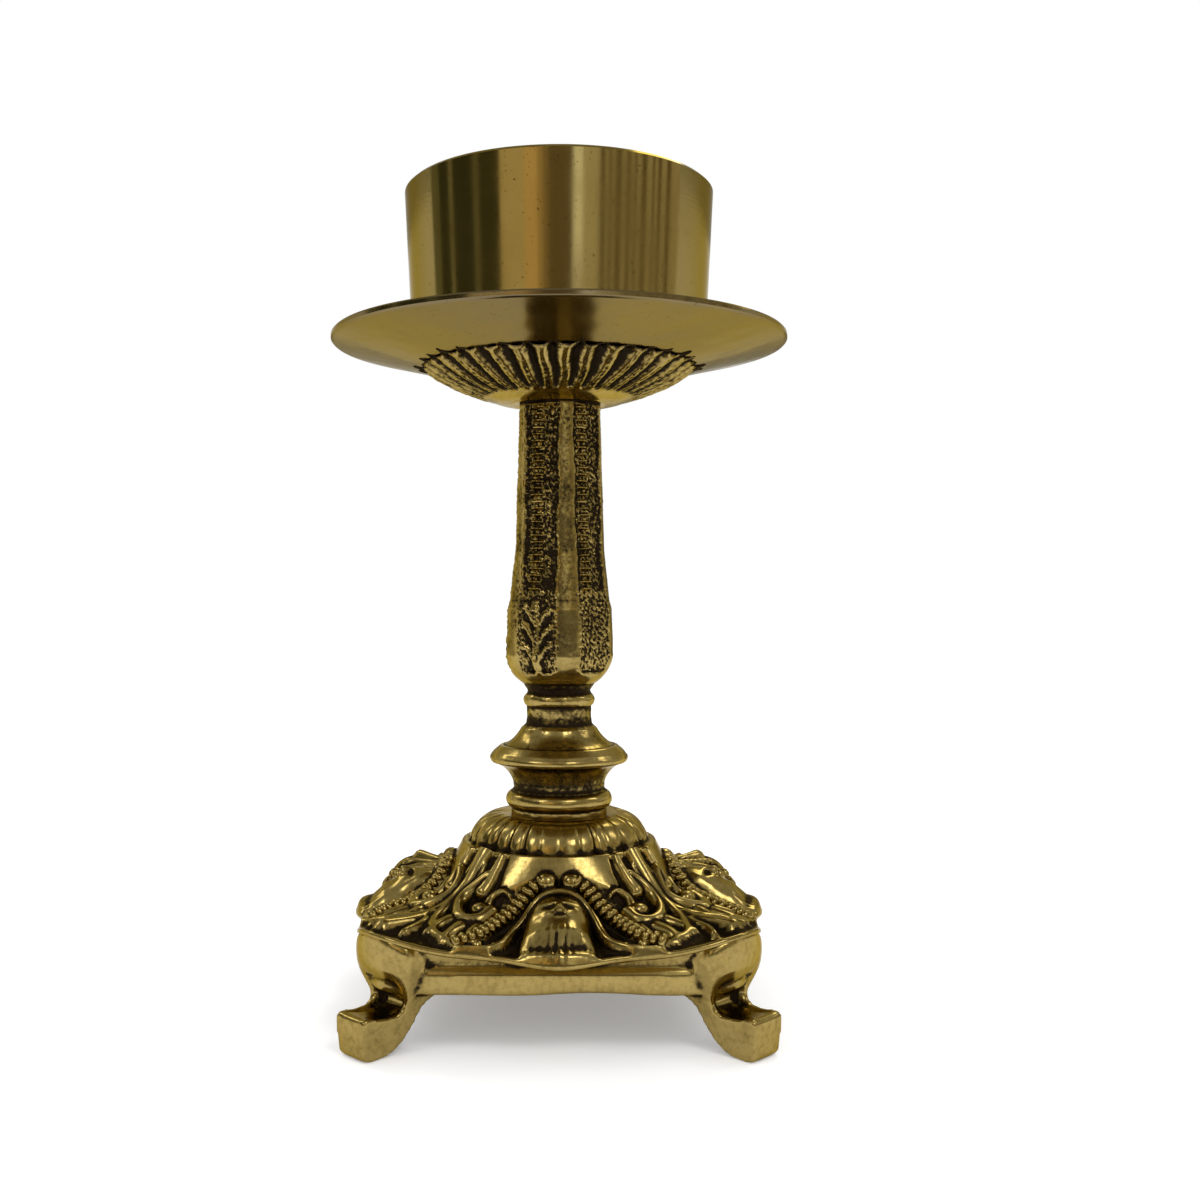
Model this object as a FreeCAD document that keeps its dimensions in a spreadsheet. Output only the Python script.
import FreeCAD, Part
import Sketcher
import math
import os
import re

# Pricket candle stand: a clamped stack of brass castings on four scroll feet.
# Millimetres, +Z up, +X to the right, the front towards -Y. The origin is the centre of the square
# that the feet stand on, at table level. Radii and reaches are measured from the stand's axis,
# and levels from the table.

SIZES = {
    # tie rod, nut and washers
    "rod_diameter": 6.0,
    "rod_clearance": 0.3,
    "thread_clearance": 0.05,
    "rod_end_length": 2.5,
    "rod_chamfer": 0.6,
    "nut_width": 10.0,
    "nut_height": 5.0,
    "nut_chamfer": 0.8,
    "washer_radius": 9.0,
    "washer_thickness": 1.6,
    "lock_washer_radius": 5.6,
    "lock_washer_thickness": 1.5,
    "lock_washer_slit": 0.8,
    # base: boss, cushion and bell
    "base_height": 49.7,
    "base_seat_radius": 14.2,
    "base_boss_radius": 12.0,
    "base_boss_depth": 8.0,
    "base_wall": 3.2,
    "cushion_radius": 24.2,
    "cushion_height": 7.2,
    "gadroon_gap": 0.9,
    "gadroon_depth": 0.7,
    "collar_radius": 25.9,
    "bell_waist_radius": 37.5,
    "bell_waist_rise": 3.6,
    "bell_foot_radius": 46.6,
    # base: square skirt
    "rim_level": 24.6,
    "rim_thickness": 2.2,
    "rim_half_width": 47.6,
    "rim_corner_radius": 15.0,
    "bow_half_width": 15.0,
    "bow_reach": 54.0,
    "cavetto_depth": 2.0,
    "fascia_level": 19.3,
    "fascia_half_width": 46.8,
    "apron_level": 14.2,
    "skirt_wall": 3.0,
    # base: scroll feet
    "leg_root_reach": 49.0,
    "leg_root_half_width": 8.4,
    "leg_root_level": 11.0,
    "leg_top_reach": 56.5,
    "knee_reach": 61.6,
    "knee_level": 21.0,
    "shin_reach": 59.6,
    "shin_level": 16.4,
    "neck_reach": 57.4,
    "neck_level": 12.4,
    "instep_reach": 61.4,
    "instep_level": 9.4,
    "toe_reach": 69.0,
    "toe_half_width": 5.1,
    "toe_height": 10.2,
    "toe_nose": 0.9,
    "sole_reach": 64.4,
    "heel_reach": 57.3,
    "heel_level": 6.9,
    "hock_reach": 54.2,
    "flange_thickness": 1.9,
    "channel_depth": 1.8,
    # base: mask cartouches and corner leaves
    "head_reach": 42.0,
    "head_level": 27.0,
    "head_length": 10.5,
    "head_half_width": 8.0,
    "head_rise": 6.6,
    "leaf_reach": 45.0,
    "leaf_level": 25.0,
    "leaf_length": 11.5,
    "leaf_half_width": 5.0,
    "leaf_rise": 4.4,
    # stem, from its foot upwards
    "foot_ring_height": 7.3,
    "foot_ring_radius": 12.8,
    "knop_height": 15.3,
    "knop_radius": 18.3,
    "knop_waist_radius": 12.3,
    "knop_shoulder_radius": 15.8,
    "knop_step": 1.0,
    "knop_top_radius": 10.2,
    "neck_height": 11.9,
    "neck_radius": 8.7,
    "bulb_height": 22.3,
    "bulb_foot_radius": 9.6,
    "bulb_radius": 14.6,
    "bulb_top_radius": 14.2,
    "shaft_length": 52.7,
    "shaft_foot_radius": 13.6,
    "shaft_waist_radius": 12.2,
    "shaft_top_radius": 11.1,
    "panel_width": 8.6,
    "panel_depth": 1.5,
    "bulb_panel_depth": 0.8,
    # calyx
    "calyx_height": 10.0,
    "calyx_foot_radius": 12.2,
    "calyx_ring_radius": 19.0,
    "calyx_ring_rise": 1.2,
    "calyx_radius": 36.4,
    "calyx_wall": 3.4,
    "calyx_boss_radius": 9.0,
    "flute_foot_radius": 0.7,
    "flute_mouth_radius": 1.5,
    # drip pan
    "pan_radius": 60.8,
    "pan_rise": 5.8,
    "pan_wall": 1.8,
    "pan_floor_radius": 40.2,
    "pan_floor_thickness": 2.7,
    # candle cup
    "cup_height": 44.0,
    "cup_mouth_radius": 41.5,
    "cup_foot_radius": 39.2,
    "cup_wall": 2.0,
    "cup_floor": 2.5,
    # pricket
    "pricket_collar_radius": 8.0,
    "pricket_collar_height": 8.0,
    "pricket_thread_depth": 6.0,
    "pricket_thread_runout": 1.0,
    "spike_radius": 3.5,
    "spike_length": 23.0,
    "spike_tip_radius": 0.5,
    # how far every cut runs past what it cuts
    "cut_overrun": 2.0,
    # how far a rounded edge bows from its chord, as a share of the chord
    "quarter_bow_share": (1 - math.sqrt(0.5)) / math.sqrt(2),
    "cushion_bow_share": 0.22,
    "bell_bow_share": 0.11,
    "bell_foot_bow_share": 0.07,
    "foot_ring_bow_share": 0.36,
    "knop_hollow_bow_share": 0.13,
    "knop_edge_bow_share": 0.18,
    "neck_bow_share": 0.08,
    "collar_ring_bow_share": 0.28,
    "bulb_bow_share": 0.11,
    "heel_bow_share": 0.16,
    "knee_bow_share": 0.2,
    "neck_hollow_bow_share": 0.2,
    "shin_bow_share": 0.05,
    "edge_bow_share": 0.25,
}

GADROONS = 32
FLUTES = 36
PANELS = 6
SHAFT_TURN = 8.0
LEG_ANGLE = 45.0
QUARTER_TURN = 90.0
FULL_TURN = 360.0

# Levels inside the stem, as shares of the section that they divide.
KNOP_LEVEL_SHARES = {"hollow": 0.05, "edge": 0.43, "edge_top": 0.575, "shoulder": 0.7}
NECK_LEVEL_SHARES = {"foot": 0.24, "ring": 0.5, "ring_top": 0.78, "head": 0.89}
BULB_LEVEL_SHARES = {"belly": 0.33, "brow": 0.9, "panel": 0.34, "panel_top": 0.92}
SHAFT_LEVEL_SHARES = {"panel": 0.04, "waist": 0.25}
FOOT_RING_LEVEL_SHARES = {"ring": 0.2, "ring_top": 0.8}

doc = FreeCAD.newDocument("candle_stand")
sheet = doc.addObject("Spreadsheet::Sheet", "sizes")
for row, (name, size) in enumerate(SIZES.items(), start=1):
    sheet.set(f"A{row}", name)
    sheet.set(f"B{row}", str(size))
    sheet.setAlias(f"B{row}", name)
doc.recompute()


def bound(text):
    """Point every size named in an expression at its cell."""
    return re.sub(r"[a-z]+(?:_[a-z]+)+", r"sizes.\g<0>", text)


def value(text):
    """The number that an expression of named sizes gives now."""
    return float(sheet.evalExpression(bound(text)))


def bind(thing, property_name, text):
    thing.setExpression(property_name, bound(text))


def bowed(start, end, share):
    """The point of an edge that lies a share of its chord to the left of its middle."""
    across = f"(({start[0]}) + ({end[0]})) / 2 - ({share}) * (({end[1]}) - ({start[1]}))"
    up = f"(({start[1]}) + ({end[1]})) / 2 + ({share}) * (({end[0]}) - ({start[0]}))"
    return across, up


def pin_down(drawing, element, end, place):
    """Tie one end of a sketch's element to a place given as two expressions."""
    horizontal_axis, vertical_axis = -1, -2
    for kind, text, axis in (("DistanceX", place[0], vertical_axis), ("DistanceY", place[1], horizontal_axis)):
        if text == "0":
            drawing.addConstraint(Sketcher.Constraint("PointOnObject", element, end, axis))
            continue
        number = drawing.addConstraint(Sketcher.Constraint(kind, -1, 1, element, end, value(text)))
        drawing.setExpression(f"Constraints[{number}]", bound(text))


def draw_outline(drawing, places):
    """Draw a closed outline. A place is (across, up), or (across, up, bow) where the edge after it bows."""
    edges = []
    for index, place in enumerate(places):
        following = places[(index + 1) % len(places)]
        start = FreeCAD.Vector(value(place[0]), value(place[1]), 0)
        end = FreeCAD.Vector(value(following[0]), value(following[1]), 0)
        if len(place) == 2:
            edges.append((drawing.addGeometry(Part.LineSegment(start, end), False), 1, 2))
            continue
        via = bowed(place, following, place[2])
        middle = FreeCAD.Vector(value(via[0]), value(via[1]), 0)
        through = Part.Circle(start, middle, end)
        circle = Part.Circle(through.Center, FreeCAD.Vector(0, 0, 1), through.Radius)
        clockwise = value(place[2]) > 0
        first, last = (end, start) if clockwise else (start, end)
        arc = Part.ArcOfCircle(circle, circle.parameter(first), circle.parameter(last))
        element = drawing.addGeometry(arc, False)
        edges.append((element, 2, 1) if clockwise else (element, 1, 2))
        marker = drawing.addGeometry(Part.Point(middle), True)
        pin_down(drawing, marker, 1, via)
        drawing.addConstraint(Sketcher.Constraint("PointOnObject", marker, 1, element))
    for index, (element, near_end, _) in enumerate(edges):
        before, _, far_end = edges[index - 1]
        drawing.addConstraint(Sketcher.Constraint("Coincident", before, far_end, element, near_end))
        pin_down(drawing, element, near_end, places[index])


def new_body(name):
    body = doc.addObject("PartDesign::Body", name)
    body.Label = name
    return body


def origin_part(body, role):
    return next(part for part in body.Origin.OriginFeatures if part.Role == role)


def sketch(body, name, plane, outlines, level=None):
    """A sketch of closed outlines on one of the body's own planes, lifted to a level."""
    drawing = body.newObject("Sketcher::SketchObject", name)
    drawing.AttachmentSupport = (origin_part(body, plane), [""])
    drawing.MapMode = "FlatFace"
    if level:
        bind(drawing, "AttachmentOffset.Base.z", level)
    for places in outlines:
        draw_outline(drawing, places)
    return drawing


def turned(body, name, places, kind="Revolution"):
    """Turn an outline, drawn as (radius, level), about the stand's axis."""
    drawing = sketch(body, name + "_outline", "XZ_Plane", [places])
    solid = body.newObject("PartDesign::" + kind, name)
    solid.Profile = drawing
    solid.ReferenceAxis = (drawing, ["V_Axis"])
    solid.Angle = FULL_TURN
    doc.recompute()
    return solid


def upright(body, name, outlines, level, height, kind="Pad"):
    """Pad or pocket outlines, drawn in plan, from a level upwards."""
    drawing = sketch(body, name + "_plan", "XY_Plane", outlines, level)
    solid = body.newObject("PartDesign::" + kind, name)
    solid.Profile = drawing
    solid.Reversed = kind == "Pocket"
    bind(solid, "Length", height)
    doc.recompute()
    return solid


def slab(body, name, places, width, kind="Pad"):
    """Pad or pocket an outline, drawn as (reach, level), evenly to both sides of the XZ plane."""
    drawing = sketch(body, name + "_side", "XZ_Plane", [places])
    solid = body.newObject("PartDesign::" + kind, name)
    solid.Profile = drawing
    solid.SideType = "Symmetric"
    bind(solid, "Length", width)
    doc.recompute()
    return solid


def repeated(body, name, features, count):
    """Repeat features all round the axis."""
    pattern = body.newObject("PartDesign::PolarPattern", name)
    pattern.Originals = features
    pattern.Axis = (origin_part(body, "Z_Axis"), [""])
    pattern.Angle = FULL_TURN
    pattern.Occurrences = count
    body.Tip = pattern
    doc.recompute()
    return pattern


def must_shrink(body, before, name):
    """Stop if a cut took nothing away."""
    if body.Shape.Volume >= before * (1 - 1e-6):
        raise RuntimeError(f"{name} cuts nothing")


# Levels and radii that several pieces share, as text of the sizes that they follow.
ROD_HOLE = "rod_diameter / 2 + rod_clearance"
THREAD_HOLE = "rod_diameter / 2 + thread_clearance"
BOSS_LEVEL = "(base_height - base_boss_depth)"
NUT_TOP = f"({BOSS_LEVEL} - washer_thickness - lock_washer_thickness)"
ROD_FOOT = f"({NUT_TOP} - nut_height - rod_end_length)"
RIM_UNDER = "(rim_level - rim_thickness)"
KNOP_FOOT = "(base_height + foot_ring_height)"
NECK_FOOT = "(base_height + foot_ring_height + knop_height)"
BULB_FOOT = "(base_height + foot_ring_height + knop_height + neck_height)"
SHAFT_FOOT = f"({BULB_FOOT} + bulb_height)"
CALYX_FOOT = f"({SHAFT_FOOT} + shaft_length)"
PAN_FOOT = f"({CALYX_FOOT} + calyx_height)"
CUP_FOOT = f"({PAN_FOOT} + pan_floor_thickness)"
PRICKET_FOOT = f"({CUP_FOOT} + cup_floor)"


def ring(name, inner, outer, foot, head):
    """A plain turned ring between two radii and two levels."""
    body = new_body(name)
    turned(body, name + "_ring", [(inner, foot), (outer, foot), (outer, head), (inner, head)])
    return body


def make_tie_rod():
    rod = new_body("tie_rod")
    head = f"{PRICKET_FOOT} + pricket_thread_depth"
    turned(rod, "rod_bar", [
        ("0", ROD_FOOT),
        ("rod_diameter / 2 - rod_chamfer", ROD_FOOT),
        ("rod_diameter / 2", f"{ROD_FOOT} + rod_chamfer"),
        ("rod_diameter / 2", f"{head} - rod_chamfer"),
        ("rod_diameter / 2 - rod_chamfer", head),
        ("0", head),
    ])
    return rod


def make_base_washer():
    return ring("base_washer", ROD_HOLE, "washer_radius", f"{BOSS_LEVEL} - washer_thickness", BOSS_LEVEL)


def make_lock_washer():
    foot = f"{BOSS_LEVEL} - washer_thickness - lock_washer_thickness"
    washer = ring("lock_washer", ROD_HOLE, "lock_washer_radius", foot, f"{BOSS_LEVEL} - washer_thickness")
    slit = [
        ("0", "-lock_washer_slit / 2"),
        ("lock_washer_radius + cut_overrun", "-lock_washer_slit / 2"),
        ("lock_washer_radius + cut_overrun", "lock_washer_slit / 2"),
        ("0", "lock_washer_slit / 2"),
    ]
    before = washer.Shape.Volume
    upright(washer, "slit", [slit], foot, "lock_washer_thickness", "Pocket")
    must_shrink(washer, before, "slit")
    return washer


def make_base_nut():
    nut = new_body("base_nut")
    corner = "nut_width / sqrt(3)"
    hexagon = []
    for turn in range(6):
        angle = turn * FULL_TURN / 6
        hexagon.append((f"{corner} * cos({angle} deg)", f"{corner} * sin({angle} deg)"))
    foot = f"{NUT_TOP} - nut_height"
    upright(nut, "nut_hexagon", [hexagon], foot, "nut_height")
    before = nut.Shape.Volume
    turned(nut, "nut_bore", [
        ("0", f"{foot} - cut_overrun"),
        (THREAD_HOLE, f"{foot} - cut_overrun"),
        (THREAD_HOLE, f"{NUT_TOP} + cut_overrun"),
        ("0", f"{NUT_TOP} + cut_overrun"),
    ], "Groove")
    turned(nut, "nut_corners", [
        ("nut_width / 2", foot),
        (f"{corner} + cut_overrun", foot),
        (f"{corner} + cut_overrun", f"{foot} + nut_chamfer"),
        (corner, f"{foot} + nut_chamfer"),
    ], "Groove")
    must_shrink(nut, before, "nut bore")
    return nut


def rounded_square(half, radius):
    """Places of a square with round corners, in plan, anticlockwise."""
    places = []
    for side in range(4):
        run = [(half, f"-({half}) + {radius}"), (half, f"{half} - {radius}", "-quarter_bow_share")]
        places += [quarter_turned(place, side) for place in run]
    return places


def bowed_square(half, radius):
    """The same square with a bow in the middle of each side."""
    bow = f"-(bow_reach - {half}) / (2 * bow_half_width)"
    places = []
    for side in range(4):
        run = [
            (half, f"-({half}) + {radius}"),
            (half, "-bow_half_width", bow),
            (half, "bow_half_width"),
            (half, f"{half} - {radius}", "-quarter_bow_share"),
        ]
        places += [quarter_turned(place, side) for place in run]
    return places


def quarter_turned(place, turns):
    """A place in plan, turned by quarters of a turn about the axis."""
    across, up, *bow = place
    for _ in range(turns):
        across, up = f"-({up})", across
    return (across, up, *bow)


def make_base_mass():
    """The base's outer form, solid: skirt, bell and gadrooned cushion."""
    mass = new_body("base_mass")
    fascia = rounded_square("fascia_half_width", "rim_corner_radius")
    cavetto = rounded_square("(fascia_half_width - cavetto_depth)", "rim_corner_radius")
    rim = bowed_square("rim_half_width", "rim_corner_radius")
    upright(mass, "fascia", [fascia], "apron_level", "fascia_level - apron_level")
    upright(mass, "cavetto", [cavetto], "fascia_level", f"{RIM_UNDER} - fascia_level")
    upright(mass, "rim", [rim], RIM_UNDER, "rim_thickness")
    cushion_foot = "base_height - cushion_height"
    turned(mass, "bell", [
        (ROD_HOLE, RIM_UNDER),
        ("bell_foot_radius", RIM_UNDER),
        ("bell_foot_radius", "rim_level", "bell_foot_bow_share"),
        ("bell_waist_radius", "rim_level + bell_waist_rise", "bell_bow_share"),
        ("collar_radius", cushion_foot),
        ("cushion_radius", cushion_foot, "-cushion_bow_share"),
        ("base_seat_radius", "base_height"),
        (ROD_HOLE, "base_height"),
    ])
    # each valley between two gadroons is a slot whose floor follows the cushion's arc
    before = mass.Shape.Volume
    valley = slab(mass, "gadroon_valley", [
        ("cushion_radius - gadroon_depth", cushion_foot, "-cushion_bow_share"),
        ("base_seat_radius", "base_height - gadroon_depth"),
        ("base_seat_radius", "base_height + cut_overrun"),
        ("cushion_radius + gadroon_depth", "base_height + cut_overrun"),
        ("cushion_radius + gadroon_depth", cushion_foot),
    ], "gadroon_gap", "Pocket")
    repeated(mass, "gadroons", [valley], GADROONS)
    must_shrink(mass, before, "gadroons")
    return mass


def make_base_hollow():
    """The core inside the base: the space under the bell and inside the skirt."""
    hollow = new_body("base_hollow")
    slope_across_share, slope_up_share = 0.8, 0.6
    waist = ("bell_waist_radius", "(rim_level + bell_waist_rise)")
    belly = bowed(waist, ("collar_radius", "(base_height - cushion_height)"), "bell_bow_share")
    turned(hollow, "bell_core", [
        ("0", f"{RIM_UNDER} - cut_overrun"),
        ("bell_foot_radius - base_wall", f"{RIM_UNDER} - cut_overrun"),
        ("bell_foot_radius - base_wall", RIM_UNDER),
        (f"{waist[0]} - {slope_up_share} * base_wall", f"{waist[1]} - {slope_across_share} * base_wall"),
        (f"{belly[0]} - {slope_across_share} * base_wall", f"{belly[1]} - {slope_up_share} * base_wall"),
        ("collar_radius - base_wall", "base_height - cushion_height - base_wall / 2"),
        ("(cushion_radius + base_boss_radius) / 2", "base_height - 1.25 * base_wall"),
        ("base_boss_radius", "base_height - 1.25 * base_wall"),
        ("base_boss_radius", BOSS_LEVEL),
        ("0", BOSS_LEVEL),
    ])
    inside = rounded_square("(fascia_half_width - cavetto_depth - skirt_wall)",
                            "(rim_corner_radius - skirt_wall)")
    upright(hollow, "skirt_core", [inside], "0", RIM_UNDER)
    return hollow


def make_leg():
    """One scroll foot, drawn as (reach, level) and tapered in plan from its root to its toe."""
    leg = new_body("leg")
    slab(leg, "scroll", [
        ("leg_root_reach", "leg_root_level"),
        ("hock_reach", "leg_root_level", "-heel_bow_share"),
        ("heel_reach", "heel_level", "heel_bow_share"),
        ("sole_reach", "0"),
        ("toe_reach - toe_nose", "0"),
        ("toe_reach", "toe_nose"),
        ("toe_reach", "toe_height - toe_nose"),
        ("toe_reach - toe_nose", "toe_height"),
        ("instep_reach", "instep_level", "-neck_hollow_bow_share"),
        ("neck_reach", "neck_level", "-shin_bow_share"),
        ("shin_reach", "shin_level"),
        ("knee_reach", "knee_level", "-knee_bow_share"),
        ("leg_top_reach", "rim_level"),
        ("leg_root_reach", "rim_level"),
    ], "2 * leg_root_half_width")
    before = leg.Shape.Volume
    taper = "(leg_root_half_width - toe_half_width) / (toe_reach - leg_root_reach)"
    wedges = []
    for side in ("", "-"):
        wedge = [
            ("leg_root_reach", f"{side}leg_root_half_width"),
            ("toe_reach + cut_overrun", f"{side}(toe_half_width - {taper} * cut_overrun)"),
            ("toe_reach + cut_overrun", f"{side}(leg_root_half_width + cut_overrun)"),
            ("leg_root_reach", f"{side}(leg_root_half_width + cut_overrun)"),
        ]
        wedges.append(wedge)
    upright(leg, "leg_taper", wedges, "-cut_overrun", "rim_level + 2 * cut_overrun", "Pocket")
    must_shrink(leg, before, "leg taper")
    before = leg.Shape.Volume
    slab(leg, "channel", [
        ("toe_reach - 3 * toe_nose", "toe_height + cut_overrun"),
        ("toe_reach - 3 * toe_nose", "toe_height - channel_depth / 3"),
        ("instep_reach", "instep_level - channel_depth / 2", "-neck_hollow_bow_share"),
        ("neck_reach - channel_depth", "neck_level + channel_depth / 4"),
        ("shin_reach - channel_depth", "shin_level"),
        ("knee_reach + cut_overrun", "shin_level + channel_depth"),
        ("knee_reach + cut_overrun", "toe_height + cut_overrun"),
    ], "leg_root_half_width + toe_half_width - 2 * flange_thickness", "Pocket")
    must_shrink(leg, before, "channel")
    leg.Placement.Rotation = FreeCAD.Rotation(FreeCAD.Vector(0, 0, 1), -LEG_ANGLE)
    doc.recompute()
    return leg


def mirrored(name, source, normal):
    """A copy of an object on the other side of a plane through the axis."""
    copy = doc.addObject("Part::Mirroring", name)
    copy.Source = source
    copy.Normal = normal
    doc.recompute()
    return copy


def swelling(name, radii, reach, level, angle):
    """An ellipsoid that stands out of the bell, at an angle round the axis."""
    lump = doc.addObject("Part::Ellipsoid", name)
    for property_name, text in radii.items():
        bind(lump, property_name, text)
    bind(lump, "Placement.Base.x", f"({reach}) * cos({angle} deg)")
    bind(lump, "Placement.Base.y", f"({reach}) * sin({angle} deg)")
    bind(lump, "Placement.Base.z", level)
    lump.Placement.Rotation = FreeCAD.Rotation(FreeCAD.Vector(0, 0, 1), angle)
    return lump


def make_ornament():
    """The main masses of the carved bell: the four heads and the leaves over the feet."""
    head = {"Radius1": "head_rise", "Radius2": "head_length", "Radius3": "head_half_width"}
    leaf = {"Radius1": "leaf_rise", "Radius2": "leaf_length", "Radius3": "leaf_half_width"}
    lumps = []
    for side in range(4):
        angle = side * QUARTER_TURN
        lumps.append(swelling(f"head_{side + 1}", head, "head_reach", "head_level", angle))
        lumps.append(swelling(f"leaf_{side + 1}", leaf, "leaf_reach", "leaf_level", angle + LEG_ANGLE))
    doc.recompute()
    return lumps


def make_base():
    """One casting: bell and skirt on four mirrored scroll feet, carved, then hollowed from below."""
    leg = make_leg()
    left_leg = mirrored("left_leg", leg, FreeCAD.Vector(1, 0, 0))
    back_right_leg = mirrored("back_right_leg", leg, FreeCAD.Vector(0, 1, 0))
    back_left_leg = mirrored("back_left_leg", left_leg, FreeCAD.Vector(0, 1, 0))
    footed = doc.addObject("Part::MultiFuse", "base_footed")
    footed.Shapes = [make_base_mass(), leg, left_leg, back_right_leg, back_left_leg]
    carved = doc.addObject("Part::MultiFuse", "base_carved")
    carved.Shapes = [footed, *make_ornament()]
    base = doc.addObject("Part::Cut", "base")
    base.Label = "base"
    base.Base = carved
    base.Tool = make_base_hollow()
    doc.recompute()
    return base


def level_at(foot, length, share):
    return f"{foot} + {share} * {length}"


def make_stem():
    """One casting, turned outline first, then the six sunk panels of the shaft and bulb."""
    stem = new_body("stem")
    ring_at = {name: level_at("base_height", "foot_ring_height", share)
               for name, share in FOOT_RING_LEVEL_SHARES.items()}
    knop_at = {name: level_at(KNOP_FOOT, "knop_height", share) for name, share in KNOP_LEVEL_SHARES.items()}
    neck_at = {name: level_at(NECK_FOOT, "neck_height", share) for name, share in NECK_LEVEL_SHARES.items()}
    bulb_at = {name: level_at(BULB_FOOT, "bulb_height", share) for name, share in BULB_LEVEL_SHARES.items()}
    shaft_at = {name: level_at(SHAFT_FOOT, "shaft_length", share)
                for name, share in SHAFT_LEVEL_SHARES.items()}
    turned(stem, "stem_turning", [
        (ROD_HOLE, "base_height"),
        ("foot_ring_radius", "base_height"),
        ("foot_ring_radius", ring_at["ring"], "-foot_ring_bow_share"),
        ("foot_ring_radius", ring_at["ring_top"]),
        ("knop_waist_radius", KNOP_FOOT),
        ("knop_waist_radius", knop_at["hollow"], "knop_hollow_bow_share"),
        ("knop_radius", knop_at["edge"], "-knop_edge_bow_share"),
        ("knop_radius", knop_at["edge_top"]),
        ("knop_shoulder_radius", knop_at["shoulder"]),
        ("knop_shoulder_radius - knop_step", knop_at["shoulder"]),
        ("knop_top_radius", NECK_FOOT, "neck_bow_share"),
        ("neck_radius", neck_at["foot"]),
        ("neck_radius", neck_at["ring"], "-collar_ring_bow_share"),
        ("neck_radius", neck_at["ring_top"]),
        ("neck_radius", neck_at["head"]),
        ("bulb_foot_radius", BULB_FOOT, "-bulb_bow_share"),
        ("bulb_radius", bulb_at["belly"]),
        ("bulb_top_radius", bulb_at["brow"]),
        ("shaft_foot_radius", SHAFT_FOOT),
        ("shaft_waist_radius", shaft_at["waist"]),
        ("shaft_top_radius", CALYX_FOOT),
        (ROD_HOLE, CALYX_FOOT),
    ])
    before = stem.Shape.Volume
    panel = slab(stem, "shaft_panel", [
        ("shaft_foot_radius - panel_depth", shaft_at["panel"]),
        ("bulb_radius + cut_overrun", shaft_at["panel"]),
        ("bulb_radius + cut_overrun", f"{CALYX_FOOT} + cut_overrun"),
        ("shaft_top_radius - panel_depth", f"{CALYX_FOOT} + cut_overrun"),
        ("shaft_waist_radius - panel_depth", shaft_at["waist"]),
    ], "panel_width", "Pocket")
    bulb_panel = slab(stem, "bulb_panel", [
        ("bulb_radius - bulb_panel_depth", bulb_at["panel"]),
        ("bulb_radius + cut_overrun", bulb_at["panel"]),
        ("bulb_radius + cut_overrun", bulb_at["panel_top"]),
        ("bulb_top_radius - bulb_panel_depth", bulb_at["panel_top"]),
    ], "panel_width", "Pocket")
    repeated(stem, "panels", [panel, bulb_panel], PANELS)
    must_shrink(stem, before, "panels")
    stem.Placement.Rotation = FreeCAD.Rotation(FreeCAD.Vector(0, 0, 1), SHAFT_TURN)
    return stem


def make_calyx():
    """The fluted leaf cup: a turned dish, cored from above, with conical flutes cut along its flank."""
    calyx = new_body("calyx")
    turned(calyx, "calyx_dish", [
        (ROD_HOLE, CALYX_FOOT),
        ("calyx_foot_radius", CALYX_FOOT),
        ("calyx_ring_radius", f"{CALYX_FOOT} + calyx_ring_rise"),
        ("calyx_radius", PAN_FOOT),
        (ROD_HOLE, PAN_FOOT),
    ])
    before = calyx.Shape.Volume
    turned(calyx, "calyx_core", [
        ("calyx_boss_radius", f"{CALYX_FOOT} + calyx_wall"),
        ("calyx_ring_radius - calyx_wall / 2", f"{CALYX_FOOT} + calyx_wall"),
        ("calyx_radius - 2 * calyx_wall", f"{PAN_FOOT} + cut_overrun"),
        ("calyx_boss_radius", f"{PAN_FOOT} + cut_overrun"),
    ], "Groove")
    must_shrink(calyx, before, "calyx core")
    before = calyx.Shape.Volume
    foot = ("calyx_ring_radius", f"({CALYX_FOOT} + calyx_ring_rise)")
    mouth = ("calyx_radius", PAN_FOOT)
    run = "(calyx_radius - calyx_ring_radius)"
    climb = "(calyx_height - calyx_ring_rise)"
    length = f"sqrt({run}^2 + {climb}^2)"
    drawing = sketch(calyx, "flute_outline", "XZ_Plane", [[
        foot,
        (f"{foot[0]} + flute_foot_radius * {climb} / {length}",
         f"{foot[1]} - flute_foot_radius * {run} / {length}"),
        (f"{mouth[0]} + flute_mouth_radius * {climb} / {length}",
         f"{mouth[1]} - flute_mouth_radius * {run} / {length}"),
        mouth,
    ]])
    flute = calyx.newObject("PartDesign::Groove", "flute")
    flute.Profile = drawing
    flute.ReferenceAxis = (drawing, ["Edge4"])
    flute.Angle = FULL_TURN
    doc.recompute()
    repeated(calyx, "flutes", [flute], FLUTES)
    must_shrink(calyx, before, "flutes")
    return calyx


def make_drip_pan():
    """A turned dish: flat seat for the cup, then a shallow cone out to a rounded edge."""
    pan = new_body("drip_pan")
    edge = f"{PAN_FOOT} + pan_rise"
    turned(pan, "pan_dish", [
        (ROD_HOLE, PAN_FOOT),
        ("calyx_radius", PAN_FOOT),
        ("pan_radius - edge_bow_share * pan_wall", edge, "-edge_bow_share"),
        ("pan_radius - edge_bow_share * pan_wall", f"{edge} + pan_wall"),
        ("pan_floor_radius", CUP_FOOT),
        (ROD_HOLE, CUP_FOOT),
    ])
    return pan


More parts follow.
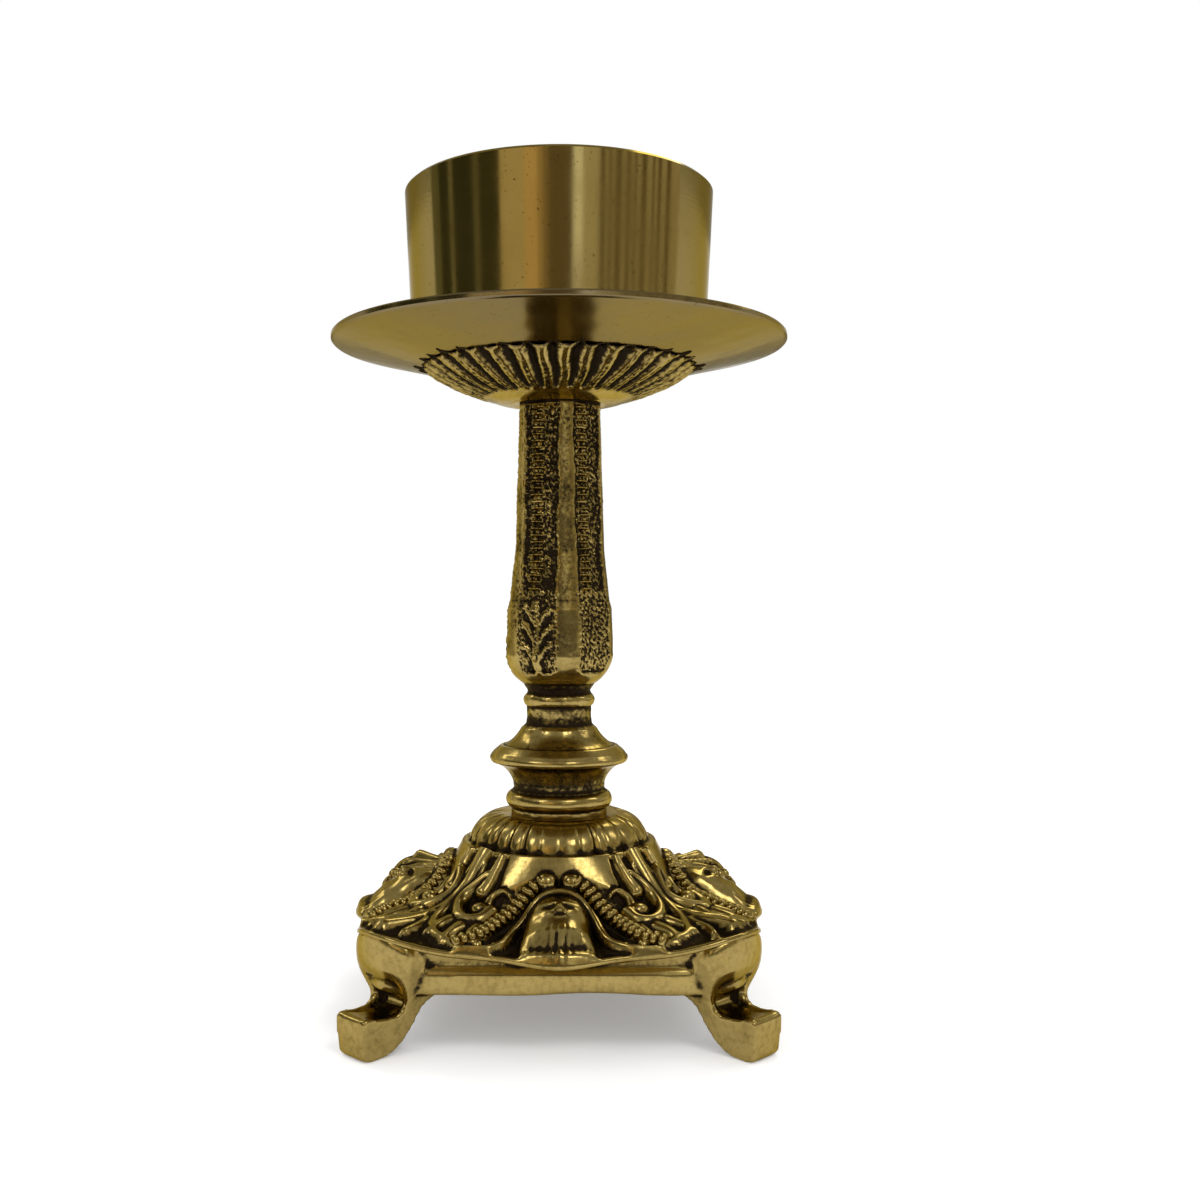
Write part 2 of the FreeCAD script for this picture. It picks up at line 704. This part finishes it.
def make_candle_cup():
    """A turned cup that opens a little towards its mouth."""
    cup = new_body("candle_cup")
    lip = f"{CUP_FOOT} + cup_height - edge_bow_share * cup_wall"
    turned(cup, "cup_shell", [
        (ROD_HOLE, CUP_FOOT),
        ("cup_foot_radius - edge_bow_share * cup_wall", CUP_FOOT),
        ("cup_foot_radius", f"{CUP_FOOT} + edge_bow_share * cup_wall"),
        ("cup_mouth_radius", lip, "-edge_bow_share"),
        ("cup_mouth_radius - cup_wall", lip),
        ("cup_foot_radius - cup_wall", PRICKET_FOOT),
        (ROD_HOLE, PRICKET_FOOT),
    ])
    return cup


def make_pricket():
    """The candle spike on its collar, with a blind threaded hole for the rod."""
    pricket = new_body("pricket")
    collar_top = f"{PRICKET_FOOT} + pricket_collar_height"
    hole_top = f"{PRICKET_FOOT} + pricket_thread_depth + pricket_thread_runout"
    turned(pricket, "pricket_turning", [
        (THREAD_HOLE, PRICKET_FOOT),
        ("pricket_collar_radius", PRICKET_FOOT),
        ("pricket_collar_radius", f"{PRICKET_FOOT} + pricket_collar_height / 2", "bulb_bow_share"),
        ("spike_radius", collar_top),
        ("spike_tip_radius", f"{collar_top} + spike_length - spike_tip_radius"),
        ("0", f"{collar_top} + spike_length"),
        ("0", hole_top),
        (THREAD_HOLE, hole_top),
    ])
    return pricket


def check_model(nodes):
    """Stop before anything is written if a feature or a piece has failed."""
    for item in doc.Objects:
        if "Invalid" in item.State or "Error" in item.State:
            raise RuntimeError(f"{item.Name} failed: {item.State}")
    for name, item in nodes.items():
        shape = item.Shape
        if shape.isNull() or not shape.isValid():
            raise RuntimeError(f"{name} has no valid shape")
        if len(shape.Solids) != 1:
            raise RuntimeError(f"{name} has {len(shape.Solids)} solids")


nodes = {
    "base": make_base(),
    "stem": make_stem(),
    "calyx": make_calyx(),
    "drip_pan": make_drip_pan(),
    "candle_cup": make_candle_cup(),
    "pricket": make_pricket(),
    "tie_rod": make_tie_rod(),
    "base_washer": make_base_washer(),
    "lock_washer": make_lock_washer(),
    "base_nut": make_base_nut(),
}
doc.recompute()
check_model(nodes)
os.makedirs("parts", exist_ok=True)
for name, item in nodes.items():
    item.Shape.exportStep(f"parts/{name}.step")
    box = item.Shape.BoundBox
    print(f"{name}: {item.Shape.Volume:.0f} mm3, z {box.ZMin:.2f} to {box.ZMax:.2f}, "
          f"x {box.XMin:.2f} to {box.XMax:.2f}")
